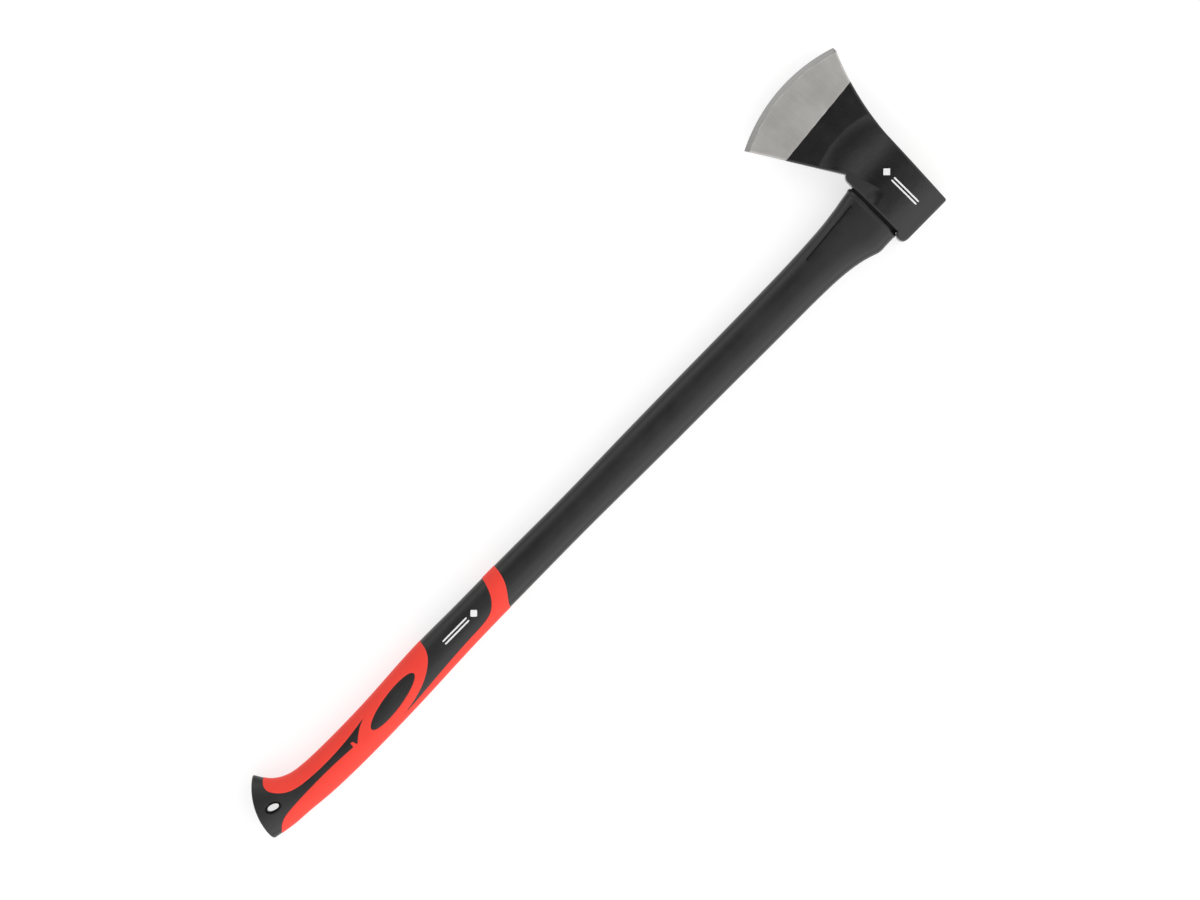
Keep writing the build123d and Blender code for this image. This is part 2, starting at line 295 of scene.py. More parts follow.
def cut(table, faces, column, at):
    """Splits the faces that a value crosses, so that an outline is as sharp as a knife cut."""
    side = table[:, column] - at
    side = np.where(np.abs(side) < ON_THE_CUT, ON_THE_CUT, side)
    above = (side > 0).tolist()
    rows, made, kept = [], {}, []

    def crossing(i, j):
        key = (min(i, j), max(i, j))
        if key not in made:
            share = side[key[0]] / (side[key[0]] - side[key[1]])
            made[key] = len(table) + len(rows)
            rows.append(table[key[0]] + share * (table[key[1]] - table[key[0]]))
        return made[key]

    def split(face):
        changes = sum(above[i] != above[j] for i, j in zip(face, face[1:] + face[:1]))
        if changes == 0:
            return [face]
        if changes > 2:
            return split(face[:3]) + split([face[0]] + face[2:])
        halves = {True: [], False: []}
        for i, j in zip(face, face[1:] + face[:1]):
            halves[above[i]].append(i)
            if above[i] != above[j]:
                point = crossing(i, j)
                halves[True].append(point)
                halves[False].append(point)
        return [half for half in halves.values() if len(half) > 2]

    for face in faces:
        kept += split(face)
    if rows:
        table = np.concatenate([table, np.array(rows)])
    return table, kept


def cut_all(table, faces, cuts):
    """Cuts along several outlines: pairs of a column and the values to cut it at."""
    for column, places in cuts:
        for at in places:
            table, faces = cut(table, faces, column, at)
    return table, faces


def chosen(table, faces, column):
    """For each face, whether the value in its middle is positive."""
    values = table[:, column].tolist()
    return [sum(values[i] for i in face) > 0 for face in faces]


def rim_edges(faces):
    """Directed edges that only one face has."""
    edges = {(i, j) for face in faces for i, j in zip(face, face[1:] + face[:1])}
    return [(i, j) for i, j in edges if (j, i) not in edges]


def make_piece(name, points, faces, finishes, *, node, which=None, bridge=False, sharp=32.0):
    """Mesh piece from points in millimetres (reach, distance, height), in place of a node.

    Which is the finish of each face, bridge joins the open rims of a hole right through, and edges
    that turn by more than the angle sharp are shaded as edges.
    """
    used = sorted({i for face in faces for i in face})
    renamed = {old: new for new, old in enumerate(used)}
    points = np.asarray(points)[used]
    placed = np.stack([AXIS_X + points[:, 1] * MM, BUTT_Y - points[:, 0] * MM,
                       MIDDLE_Z + points[:, 2] * MM], axis=1)
    mesh = bpy.data.meshes.new(name)
    mesh.from_pydata(placed.tolist(), [], [[renamed[i] for i in face] for face in faces])
    for finish in finishes:
        mesh.materials.append(finish)
    if which is not None:
        mesh.polygons.foreach_set("material_index", which)
    if bridge:
        body = bmesh.new()
        body.from_mesh(mesh)
        bmesh.ops.bridge_loops(body, edges=[e for e in body.edges if e.is_boundary])
        bmesh.ops.recalc_face_normals(body, faces=body.faces)
        body.to_mesh(mesh)
        body.free()
    mesh.polygons.foreach_set("use_smooth", [True] * len(mesh.polygons))
    mesh.update()
    mesh.set_sharp_from_angle(angle=radians(sharp))
    piece = bpy.data.objects.new(name, mesh)
    bpy.context.scene.collection.objects.link(piece)
    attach(piece, "root")
    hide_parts(node)


# ---------------------------------------------------------------- finishes
def set_range(node, start, end, low, high):
    """Sets a map range node to take values from start to end to values from low to high."""
    for socket, number in (("From Min", start), ("From Max", end), ("To Min", low), ("To Max", high)):
        node.inputs[socket].default_value = number


class Finish:
    """A procedural material, built up from noise in the object's own coordinates, in metres."""

    def __init__(self, name, colour, roughness, metallic=0.0, specular=0.5):
        self.material = bpy.data.materials.new(name)
        self.material.use_nodes = True
        self.nodes = self.material.node_tree.nodes
        self.links = self.material.node_tree.links
        self.shader = self.nodes["Principled BSDF"]
        self.shader.inputs["Base Color"].default_value = (*colour, 1.0)
        self.shader.inputs["Roughness"].default_value = roughness
        self.shader.inputs["Metallic"].default_value = metallic
        self.shader.inputs["Specular IOR Level"].default_value = specular
        self.place = self.nodes.new("ShaderNodeTexCoord").outputs["Object"]
        self.material.diffuse_color = (*colour, 1.0)

    def stretched(self, scale, turn=0.0):
        """Coordinates scaled differently along the three axes, after a turn about the upright."""
        node = self.nodes.new("ShaderNodeMapping")
        node.inputs["Scale"].default_value = scale
        turned = self.nodes.new("ShaderNodeMapping")
        turned.inputs["Rotation"].default_value = (0.0, 0.0, radians(turn))
        self.links.new(self.place, turned.inputs["Vector"])
        self.links.new(turned.outputs["Vector"], node.inputs["Vector"])
        return node.outputs["Vector"]

    def noise(self, scale, detail=3.0, rough=0.55, place=None):
        """Cloudy value from 0 to 1. The scale is in features per metre."""
        node = self.nodes.new("ShaderNodeTexNoise")
        node.inputs["Scale"].default_value = scale
        node.inputs["Detail"].default_value = detail
        node.inputs["Roughness"].default_value = rough
        self.links.new(place or self.place, node.inputs["Vector"])
        return node.outputs["Fac"]

    def between(self, value, low, high, start=0.3, end=0.7):
        """Value from start to end mapped to numbers from low to high."""
        node = self.nodes.new("ShaderNodeMapRange")
        set_range(node, start, end, low, high)
        self.links.new(value, node.inputs["Value"])
        return node.outputs["Result"]

    def colours(self, value, *stops):
        """Colour ramp: pairs of place and colour."""
        node = self.nodes.new("ShaderNodeValToRGB")
        ramp = node.color_ramp
        while len(ramp.elements) < len(stops):
            ramp.elements.new(0.5)
        for element, (place, colour) in zip(ramp.elements, stops):
            element.position = place
            element.color = (*colour, 1.0)
        self.links.new(value, node.inputs["Fac"])
        return node.outputs["Color"]

    def joined(self, first, second, operation="ADD"):
        """Sum of two values, or what another operation makes of them."""
        node = self.nodes.new("ShaderNodeMath")
        node.operation = operation
        self.links.new(first, node.inputs[0])
        self.links.new(second, node.inputs[1])
        return node.outputs[0]

    def colour(self, source):
        """Colour from a node, in place of the plain one."""
        self.links.new(source, self.shader.inputs["Base Color"])

    def roughness(self, source):
        """Roughness from a node, in place of the plain one."""
        self.links.new(source, self.shader.inputs["Roughness"])

    def bump(self, *layers):
        """Fine relief: pairs of a height and its depth in millimetres."""
        before = None
        for height, depth in layers:
            node = self.nodes.new("ShaderNodeBump")
            node.inputs["Strength"].default_value = 1.0
            node.inputs["Distance"].default_value = depth * MM
            self.links.new(height, node.inputs["Height"])
            if before:
                self.links.new(before, node.inputs["Normal"])
            before = node.outputs["Normal"]
        self.links.new(before, self.shader.inputs["Normal"])


def jacket_plastic():
    """Black glass-filled nylon with a fine moulded grain."""
    f = Finish("jacket_plastic", (0.008, 0.0077, 0.0077), 0.36, specular=0.5)
    cloud = f.noise(38.0, 4.0)
    f.colour(f.colours(cloud, (0.3, (0.0068, 0.0064, 0.0064)), (0.7, (0.0098, 0.0092, 0.0092))))
    fine = f.noise(1700.0, 2.0)
    f.roughness(f.joined(f.between(cloud, -0.04, 0.04), f.between(fine, 0.32, 0.40)))
    f.bump((fine, 0.035), (f.noise(420.0, 2.0), 0.02))
    return f.material


def grip_rubber():
    """Red thermoplastic rubber, matt, a little darker in its cloudy patches."""
    f = Finish("grip_rubber", (0.86, 0.048, 0.029), 0.6, specular=0.35)
    cloud = f.noise(30.0, 4.0)
    f.colour(f.colours(cloud, (0.25, (0.82, 0.042, 0.026)), (0.75, (0.90, 0.054, 0.033))))
    fine = f.noise(1500.0, 3.0)
    f.roughness(f.joined(f.between(cloud, -0.05, 0.05), f.between(fine, 0.52, 0.62)))
    f.bump((fine, 0.04), (f.noise(260.0, 3.0), 0.03))
    return f.material


def head_paint():
    """Black powder coat over the forging, with a soft orange peel."""
    f = Finish("head_paint", (0.0052, 0.005, 0.0052), 0.26, specular=0.6)
    cloud = f.noise(26.0, 5.0)
    f.colour(f.colours(cloud, (0.3, (0.0042, 0.0040, 0.0042)), (0.7, (0.0064, 0.0061, 0.0064))))
    peel = f.noise(520.0, 2.0)
    f.roughness(f.joined(f.between(cloud, -0.05, 0.05), f.between(f.noise(1400.0, 2.0), 0.22, 0.30)))
    f.bump((peel, 0.03), (f.noise(70.0, 3.0), 0.20))
    return f.material


def ground_steel():
    """Bare steel, ground across the bit and lightly polished."""
    f = Finish("ground_steel", (0.48, 0.465, 0.45), 0.42, metallic=0.75)
    lines = f.noise(1.0, 4.0, 0.65, f.stretched((95.0, 2600.0, 95.0), -5.0))
    wide = f.noise(1.0, 3.0, 0.6, f.stretched((22.0, 420.0, 22.0), -5.0))
    cloud = f.noise(34.0, 4.0)
    shade = f.joined(f.joined(lines, wide, "MULTIPLY"), f.between(cloud, 0.0, 0.5))
    f.colour(f.colours(shade, (0.25, (0.435, 0.42, 0.405)), (0.75, (0.525, 0.51, 0.495))))
    f.roughness(f.between(lines, 0.38, 0.50))
    f.bump((lines, 0.012), (wide, 0.02))
    return f.material


def honed_steel_painted_shade():
    """The narrow bevel at the edge, honed along its length, its steel coloured darker than the bit's as
    painted shade.
    """
    # painted shade: this base colour is darker than the ground bit's and stands in for the dimmer
    # reflection of the steeper bevel
    f = Finish("honed_steel_painted_shade", (0.31, 0.308, 0.30), 0.32, metallic=0.8)
    lines = f.noise(1.0, 4.0, 0.65, f.stretched((2600.0, 110.0, 300.0), 0.0))
    f.colour(f.colours(lines, (0.3, (0.28, 0.278, 0.271)), (0.7, (0.34, 0.337, 0.328))))
    f.roughness(f.between(lines, 0.24, 0.36))
    f.bump((lines, 0.01))
    return f.material


def white_print():
    """Pad printing, slightly worn."""
    f = Finish("white_print", (0.8, 0.8, 0.8), 0.5)
    f.colour(f.colours(f.noise(900.0, 3.0), (0.3, (0.6, 0.6, 0.6)), (0.5, (0.85, 0.85, 0.85))))
    f.bump((f.noise(1500.0, 2.0), 0.02))
    return f.material


def glass_fibre():
    """Sawn end of a pultruded bar: pale strands in yellowish resin."""
    f = Finish("core_fibreglass", (0.62, 0.50, 0.22), 0.5)
    strands = f.noise(1.0, 3.0, 0.6, f.stretched((2200.0, 40.0, 2200.0)))
    f.colour(f.colours(strands, (0.35, (0.42, 0.31, 0.10)), (0.65, (0.74, 0.64, 0.36))))
    f.roughness(f.between(strands, 0.4, 0.65))
    f.bump((strands, 0.06))
    return f.material


def cast_resin():
    """Epoxy poured round the tenon, dark amber, with a few bubbles."""
    f = Finish("eye_resin", (0.05, 0.032, 0.018), 0.18, specular=0.55)
    cloud = f.noise(140.0, 4.0)
    f.colour(f.colours(cloud, (0.3, (0.030, 0.020, 0.012)), (0.7, (0.085, 0.055, 0.030))))
    f.roughness(f.between(cloud, 0.12, 0.28))
    bubbles = f.nodes.new("ShaderNodeTexVoronoi")
    bubbles.inputs["Scale"].default_value = 420.0
    f.links.new(f.place, bubbles.inputs["Vector"])
    f.bump((f.between(bubbles.outputs["Distance"], 0.0, 1.0, 0.05, 0.25), 0.08), (cloud, 0.1))
    return f.material


def seal_rubber():
    """Soft black ring squeezed between collar and head."""
    f = Finish("seal_rubber", (0.006, 0.006, 0.006), 0.7, specular=0.3)
    cloud = f.noise(300.0, 3.0)
    f.colour(f.colours(cloud, (0.3, (0.004, 0.004, 0.004)), (0.7, (0.009, 0.009, 0.009))))
    f.roughness(f.between(cloud, 0.62, 0.8))
    f.bump((cloud, 0.05))
    return f.material


# ---------------------------------------------------------------- handle
HANDLE_COUNT = 128                  # points round the handle
BUTT_ROWS = 46
BUTT_BLEND_REACH = 62.0             # rings are straight from here on
# Straight rings: from, to, step. They are closest where an outline or a change of section needs it.
STRAIGHT_RINGS = ((BUTT_BLEND_REACH, 344.0, 1.2), (345.0, 745.0, 3.2),
                  (746.0, COLLAR_REACH - COLLAR_ROUND, 1.15))
HANDLE_ROUND_ROWS = 7               # rings of a rounded end
HANDLE_LIMITS = (-45.0, 70.0)       # distances that the handle's outline stays between
SECTION = Curve(STATIONS[:, 0], STATIONS[:, 1:])
END_X, END_Y, END_RADIUS = circle_through(*END_FACE)
END_ARC_LEAST = 5.0                 # keeps the arc's formula real past the arc's own ends
RED, GROOVE, SLOT, MARK = range(FIRST_VALUE, FIRST_VALUE + 4)
FAR = -9.0                          # value of a cut that is nowhere near


def end_face(distance, offset):
    """Reach of the butt's end face at a distance from the axis, moved inwards by offset."""
    across = np.sqrt(np.maximum(END_RADIUS**2 - (distance - END_Y) ** 2, END_ARC_LEAST**2))
    past = END_FACE[2][1] - distance
    corner = END_CORNER_SLOPE * (past + np.sqrt(past**2 + END_CORNER_BLEND**2)) / 2
    return END_X - across + corner + offset * END_RADIUS / across


def unit_circle(count):
    """Cosines and sines from the edge side round over the top, exactly 0 at the quarters."""
    angle = 2 * pi * np.arange(count) / count
    c, s = np.cos(angle), np.sin(angle)
    return np.where(np.abs(c) < TINY, 0, c), np.where(np.abs(s) < TINY, 0, s)


def superellipse(count, squareness):
    """Section of unit half size. The squareness is a number, or a column with one for each ring."""
    c, s = (a[None] for a in unit_circle(count))
    size = (np.abs(c) ** squareness + np.abs(s) ** squareness) ** (-1 / squareness)
    return c * size, s * size


def handle_rows():
    """For each ring: reach where it is straight, how straight it is, end offset, and inset."""
    turn = np.linspace(0.0, pi / 2, HANDLE_ROUND_ROWS)
    straight = np.concatenate([np.arange(*stretch) for stretch in STRAIGHT_RINGS])
    blend = np.linspace(0.0, 1.0, BUTT_ROWS)[:-1]
    collar = COLLAR_REACH - COLLAR_ROUND * (1 - np.sin(turn))
    reach = np.concatenate([np.full(len(turn) - 1 + len(blend), BUTT_BLEND_REACH), straight, collar])
    share = np.concatenate([np.zeros(len(turn) - 1), blend, np.ones(len(straight) + len(collar))])
    offset = np.full(len(reach), BUTT_ROUND)
    offset[:len(turn) - 1] = BUTT_ROUND * (1 - np.cos(turn[:-1]))
    inset = np.zeros(len(reach))
    inset[:len(turn) - 1] = BUTT_ROUND * (1 - np.sin(turn[:-1]))
    inset[-len(collar):] = COLLAR_ROUND * (1 - np.cos(turn))
    inset -= COLLAR_LIP * np.exp(-(((reach - COLLAR_REACH + COLLAR_LIP_BACK) / COLLAR_LIP_WIDTH) ** 2))
    return reach, share, offset, inset


def handle_grid():
    """Rings of the handle's outer shape."""
    reach, share, offset, inset = (a[:, None] for a in handle_rows())

    def row(distance):
        return (1 - share) * end_face(distance, offset) + share * reach

    start = np.zeros_like(reach)
    edge_side = meeting(start, start + HANDLE_LIMITS[1], lambda v: v - SECTION(row(v))[..., 0])
    poll_side = meeting(start, start + HANDLE_LIMITS[0], lambda v: SECTION(row(v))[..., 1] - v)
    middle = (edge_side + poll_side) / 2
    c, s = superellipse(HANDLE_COUNT, SECTION(row(middle))[..., 3])
    distance = middle + ((edge_side - poll_side) / 2 - inset) * c
    along = row(distance)
    height = (SECTION(along)[..., 2] - inset) * s
    return np.stack([along, distance, height], axis=2)


def grip_outlines():
    """The red rubber's outline and the black window in it."""
    band = line_through([(319.5, -30.0), (321.0, -19.5), (327.5, -9.5), (334.5, 1.5), (338.0, 14.0),
                         (338.5, 30.0)])
    tongue = line_through([(37.8, 37.0), (34.9, 34.6), (30.4, 30.2), (28.7, 24.8), (31.6, 17.6),
                           (42.5, 8.0), (62.0, 3.0), (90.0, 1.6), (118.0, 3.0), (148.0, 7.0)])
    tip = line_through([(148.0, 7.0), (136.8, 3.0), (127.8, -3.2), (122.4, -7.8)])
    tab = [(121.2, -2.6), (118.4, -1.6)]
    lower = line_through([(118.0, -6.6), (95.0, -5.2), (60.0, -4.8), (33.0, -5.8), (18.0, -9.0),
                          (9.0, -16.5)])
    past_edge_side = [(331.0, 55.0), (37.8, 55.0)]
    past_poll_side = [(4.0, -26.0), (12.0, -30.0)]
    rubber = np.concatenate([band, past_edge_side, tongue, tip[1:], tab, lower, past_poll_side])
    near = line_through([(171.0, -19.6), (190.0, -16.8), (208.0, -11.6), (224.0, -2.6), (233.0, 7.5),
                         (236.2, 20.0)])
    far = line_through([(322.0, 20.5), (319.6, 11.4), (316.2, 3.3), (310.8, -4.2), (303.5, -9.6),
                        (295.5, -11.8), (275.5, -13.1), (248.0, -14.4), (220.0, -16.4), (190.0, -18.6),
                        (171.0, -19.6)])
    window = np.concatenate([near, [(236.0, 45.0), (322.5, 45.0)], far[:-1]])
    return rubber, window


def oval_distance(points, centre, half_size, tilt):
    """Nearly the distance inside a tilted ellipse, negative outside it."""
    c, s = cos(radians(tilt)), sin(radians(tilt))
    away = (points - np.array(centre)) @ np.array([[c, -s], [s, c]])
    ratio = np.linalg.norm(away / half_size, axis=1)
    slope = np.linalg.norm(away / np.square(half_size), axis=1)
    return ratio * (1 - ratio) / np.maximum(slope, TINY)


def bar_distance(points, start, end, half_width):
    """Positive inside a bar with round ends."""
    start, end = np.array(start), np.array(end)
    step = end - start
    share = np.clip(((points - start) @ step) / (step @ step), 0, 1)
    return half_width - np.linalg.norm(points - start - share[:, None] * step, axis=1)


def mark_distance(points, centre, start, end):
    """Positive inside a plain printed mark: a diamond and two bars, on the upper cheek only."""
    plane = points[:, :2]
    found = (DIAMOND_HALF_DIAGONAL - np.abs(plane - np.array(centre)).sum(1)) / sqrt(2)
    direction = (np.array(end) - np.array(start)) / hypot(end[0] - start[0], end[1] - start[1])
    aside = np.array([-direction[1], direction[0]]) * BARS_HALF_GAP
    for offset in (-aside, aside):
        found = np.maximum(found, bar_distance(plane, start + offset, end + offset, BAR_HALF_WIDTH))
    return np.where(points[:, 2] < 0, FAR, found)


def handle_table():
    """The handle's skin, cut along the rubber, the groove, the slot and the printed mark."""
    grid = handle_grid()
    points = grid.reshape(-1, 3)
    plane = points[:, :2]
    red = np.full(len(points), FAR)
    near = points[:, 0] < GRIP_END_REACH
    rubber, window = grip_outlines()
    holes = np.maximum(oval_distance(plane[near], *PAD), inside_distance(plane[near], window))
    red[near] = np.minimum(inside_distance(plane[near], rubber), -holes)
    groove = bar_distance(plane, *GROOVE_ENDS, GROOVE_HALF_WIDTH)
    slot = oval_distance(plane, SLOT_CENTRE, (SLOT_HALF_LENGTH, SLOT_HALF_WIDTH), SLOT_TILT)
    table, faces = ring_table(grid, red, groove, slot, mark_distance(points, *GRIP_PRINT))
    flare = [-SLOT_FLARE * share for share in SLOT_FLARE_STEPS]
    table, faces = cut_all(table, faces, ((RED, (0.0, GRIP_EDGE)), (GROOVE, (0.0, GROOVE_RIM)),
                                          (MARK, (0.0,)), (SLOT, flare)))
    return table, faces, len(grid)


def rounded_ring(reach, half_size, corner):
    """Ring of a bar with rounded corners. Reach is a function of the distance from the axis."""
    c, s = unit_circle(HANDLE_COUNT)
    distance = np.sign(c) * (half_size[0] - corner) + corner * c
    height = np.sign(s) * (half_size[1] - corner) + corner * s
    return np.stack([reach(distance), distance, height], axis=1)


def oval_ring(reach, half_size):
    """Ring of the tenon, as oval as the eye."""
    c, s = superellipse(HANDLE_COUNT, EYE_SQUARENESS)
    distance, height = half_size[0] * c[0], half_size[1] * s[0]
    return np.stack([reach(distance), distance, height], axis=1)


def make_handle(plastic, rubber, printed):
    """The black jacket with its recess, and the red overmould that fills it."""
    table, faces, rings = handle_table()
    count = HANDLE_COUNT
    base, normal = table[:, :3], table[:, NORMAL]
    sink = GROOVE_DEPTH * smooth(table[:, GROOVE] / GROOVE_RIM)
    mouth = np.clip((table[:, SLOT] + SLOT_FLARE) / SLOT_FLARE, 0, 1)
    sink += SLOT_SINK * mouth**SLOT_FLARE_BEND
    skin = base - normal * sink[:, None]
    red, black, which = [], [], []
    tests = [chosen(table, faces, column) for column in (RED, SLOT, MARK)]
    for face, is_red, in_slot, is_mark in zip(faces, *tests):
        if is_red:
            red.append(face)
        elif not in_slot:
            black.append(face)
            which.append(int(is_mark))

    # The tenon and the bore for the core go on from the collar's last ring.
    def cut_end(distance):
        return TOP_REACH - RESIN_BELOW_TOP - CORE_PROUD + TOP_LEAN * distance

    inner = [
        oval_ring(lambda d: COLLAR_REACH + 0 * d, TENON_HALF_SIZE),
        oval_ring(cut_end, TENON_HALF_SIZE),
        rounded_ring(cut_end, CORE_HALF_SIZE, CORE_CORNER),
        rounded_ring(lambda d: CORE_REACH + 0 * d, CORE_HALF_SIZE, CORE_CORNER),
    ]
    # The skin's points come first, then the same points at the bottom of the recess, then these rings.
    total = len(table)
    points = np.concatenate([skin, base - normal * RECESS_DEPTH, *inner])
    starts = [(rings - 1) * count] + [2 * total + i * count for i in range(len(inner))]
    inside = [[a + i, a + (i + 1) % count, b + (i + 1) % count, b + i]
              for a, b in zip(starts, starts[1:]) for i in range(count)]
    floor = [[i + total for i in face] for face in red]
    edges = rim_edges(red)
    walls = [[i, j, j + total, i + total] for i, j in edges]
    ends = cap(0, count, True) + cap(starts[-1], count, False)
    body = black + inside + floor + walls + ends
    which += [0] * (len(body) - len(black))
    make_piece("handle_jacket_skin", points, body, [plastic, printed], which=which,
               node="handle_jacket", bridge=True)

    proud = GRIP_RIM_PROUD + (GRIP_PROUD - GRIP_RIM_PROUD) * smooth(table[:, RED] / GRIP_EDGE)
    points = np.concatenate([base + normal * proud[:, None], base - normal * GRIP_THICKNESS])
    under = [[i + total for i in reversed(face)] for face in red]
    walls = [[j, i, i + total, j + total] for i, j in edges]
    make_piece("grip_overmould_skin", points, red + under + walls, [rubber],
               node="grip_overmould")


# ---------------------------------------------------------------- head
HEAD_SIDE, HEAD_CORNER, HEAD_CHEEK = 14, 5, 62      # steps along half a ring
HEAD_ROUND_ROWS = 6                 # rings of the rounded poll
BODY_STEP = 1.3                     # from there to the beard's notch
NOTCH_GAP = 0.5                     # at least this much between the last of these rings and the notch
# Rings of the fan beyond it, as shares of the way to the edge. They are closest at the bevel.
FAN_ROWS = np.concatenate([np.linspace(0.0, 0.94, 72), np.linspace(0.945, 1.0, 12)])
MIDDLE_REACH = EDGE_CENTRE[0]       # inside the head at every distance
HEAD_LIMITS = (-95.0, 70.0)         # from there, how far the head's outline can be
LEAST_CORNER = 0.05
BEVEL_MARGIN = 0.5                  # the bare steel's step stops this far before the bevel
CORNER_SHARE = 0.8                  # a corner takes up at most this share of the half thickness
PAINTED, GROUND, HONED_SHADED, PRINTED = range(4)          # the order of the head's finishes
BEVEL, PAINT, EYE, HEAD_MARK = range(FIRST_VALUE, FIRST_VALUE + 4)
CHEEK_CURVE = Curve([d for d, _ in CHEEK], [[t] for _, t in CHEEK])


def edge_distance(reach):
    """Distance of the cutting edge's arc from the axis."""
    return EDGE_CENTRE[1] + np.sqrt(EDGE_RADIUS**2 - (reach - EDGE_CENTRE[0]) ** 2)


NECK = (TOP_REACH + NECK_DISTANCE * TOP_LEAN, NECK_DISTANCE)
HEEL = (HEEL_REACH, float(edge_distance(HEEL_REACH)))


def arc_reach(distance, *points):
    """Reach of the lower side of the circle through three points."""
    x, y, radius = circle_through(*points)
    return x - np.sqrt(np.maximum(radius**2 - (distance - y) ** 2, 0.0))


def top_reach(distance):
    """Top outline: straight over the eye, then an arc to the blunted toe."""
    straight = TOP_REACH + TOP_LEAN * distance
    arc = arc_reach(distance, NECK, TOP_MIDDLE, TOP_END)
    return np.where(distance < NECK_DISTANCE, straight, np.minimum(arc, TOE_REACH))


def bottom_reach(distance):
    """Lower outline: a lip at the poll, the flat underside, the lug and the straight beard."""
    lip = arc_reach(distance, (UNDERSIDE_REACH, LIP_DISTANCE), LIP_MIDDLE,
                    (UNDERSIDE_REACH, -POLL_DISTANCE))
    lug = arc_reach(distance, BEARD_NOTCH, LUG_MIDDLE, (UNDERSIDE_REACH, LUG_DISTANCE))
    slope = (HEEL[0] - BEARD_NOTCH[0]) / (HEEL[1] - BEARD_NOTCH[1])
    beard = BEARD_NOTCH[0] + slope * (distance - BEARD_NOTCH[1])
    found = np.where(distance < LIP_DISTANCE, np.minimum(lip, UNDERSIDE_REACH), UNDERSIDE_REACH)
    found = np.where(distance > LUG_DISTANCE, lug, found)
    return np.where(distance > BEARD_NOTCH[1], beard, found)


def half_thickness(reach, distance):
    """Half thickness of the head at a point of the side plane: the cheek, the bit and the draft."""
    cheek = CHEEK_CURVE(distance)[..., 0]
    radius = np.hypot(reach - EDGE_CENTRE[0], distance - EDGE_CENTRE[1])
    bit = np.interp(radius, [r for r, _ in BIT], [t for _, t in BIT])
    near = np.maximum(BIT_BLEND - np.abs(cheek - bit), 0) / BIT_BLEND
    found = np.minimum(cheek, bit) - near**2 * BIT_BLEND / 4
    ridge = RIDGE[0] + (RIDGE[1] - distance) * RIDGE_SLOPE
    sets_in = smooth((distance - DRAFT_START[0]) / DRAFT_START[1])
    runs_out = smooth((DRAFT_END[0] - distance) / DRAFT_END[1])
    below_ridge = np.clip(ridge - reach, 0, None) * sets_in * runs_out
    return np.minimum(found - DRAFT * below_ridge, HEAD_HALF_THICKNESS)


def head_half_ring():
    """Half a ring as shares: place between the corners, corner along, height, corner height."""
    turns = [pi / 2 * k / HEAD_CORNER for k in range(HEAD_CORNER + 1)]
    rows = [(1, 1, k / HEAD_SIDE, 0) for k in range(HEAD_SIDE)]
    rows += [(1, cos(turn), 1, sin(turn)) for turn in turns[:-1]]
    rows += [(1 - 2 * k / HEAD_CHEEK, 0, 1, 1) for k in range(HEAD_CHEEK + 1)]
    rows += [(-1, -sin(turn), 1, cos(turn)) for turn in turns[1:]]
    rows += [(-1, -1, 1 - k / HEAD_SIDE, 0) for k in range(1, HEAD_SIDE + 1)]
    return np.array(rows, float)


def head_grid():
    """Rings of the head, from the poll face to the cutting edge."""
    turn = np.linspace(0.0, pi / 2, HEAD_ROUND_ROWS)
    rounded = -POLL_DISTANCE + HEAD_ROUND * (1 - np.cos(turn[:-1]))
    body = np.arange(-POLL_DISTANCE + HEAD_ROUND, BEARD_NOTCH[1] - NOTCH_GAP, BODY_STEP)
    straight = np.concatenate([rounded, body, np.full(len(FAN_ROWS), BEARD_NOTCH[1])])[:, None]
    share = np.concatenate([np.zeros(len(rounded) + len(body)), FAN_ROWS])[:, None]
    inset = np.zeros_like(straight)
    inset[:len(rounded), 0] = HEAD_ROUND * (1 - np.sin(turn[:-1]))

    def row(reach):
        return (1 - share) * straight + share * edge_distance(reach)

    start = np.full_like(straight, MIDDLE_REACH)
    high = meeting(start, start + HEAD_LIMITS[1], lambda u: u - top_reach(row(u))) - inset
    low = meeting(start, start + HEAD_LIMITS[0], lambda u: bottom_reach(row(u)) - u) + inset
    half = head_half_ring()
    middle, length = (high + low) / 2, (high - low) / 2
    thin = half_thickness(middle, row(middle))
    corner = np.minimum(np.maximum(HEAD_ROUND - inset, LEAST_CORNER), thin * CORNER_SHARE)
    place, corner_along, level, corner_level = (half[None, :, k] for k in range(4))
    reach = middle + place * (length - corner) + corner_along * corner
    distance = row(reach)
    thickness = half_thickness(reach, distance) - inset
    round_here = np.minimum(corner, thickness * CORNER_SHARE)
    height = -(level * (thickness - round_here) + corner_level * round_here)
    lower = np.stack([reach, distance, height], axis=2)
    upper = lower[:, -2:0:-1] * np.array([1, 1, -1])
    return np.concatenate([lower, upper], axis=1)


def bare_distance(plane):
    """Positive on the bare steel, past the slightly wavy line where the paint stops."""
    start, end = np.array(PAINT_LINE[0]), np.array(PAINT_LINE[1])
    along = (end - start) / np.linalg.norm(end - start)
    off = plane - start
    waves = sum(size * np.sin(off @ along * rate + first) for size, rate, first in PAINT_WAVES)
    return off @ np.array([-along[1], along[0]]) + waves


def eye_distance(points):
    """Nearly the distance inside the tapered eye, negative outside it."""
    small, large = np.array(EYE_HALF_SIZES)
    share = (points[:, :1] - EYE_REACHES[0]) / (EYE_REACHES[1] - EYE_REACHES[0])
    half_size = small + share * (large - small)
    powers = np.abs(points[:, 1:] / half_size) ** EYE_SQUARENESS
    return (1 - powers.sum(1) ** (1 / EYE_SQUARENESS)) * half_size[:, 1]


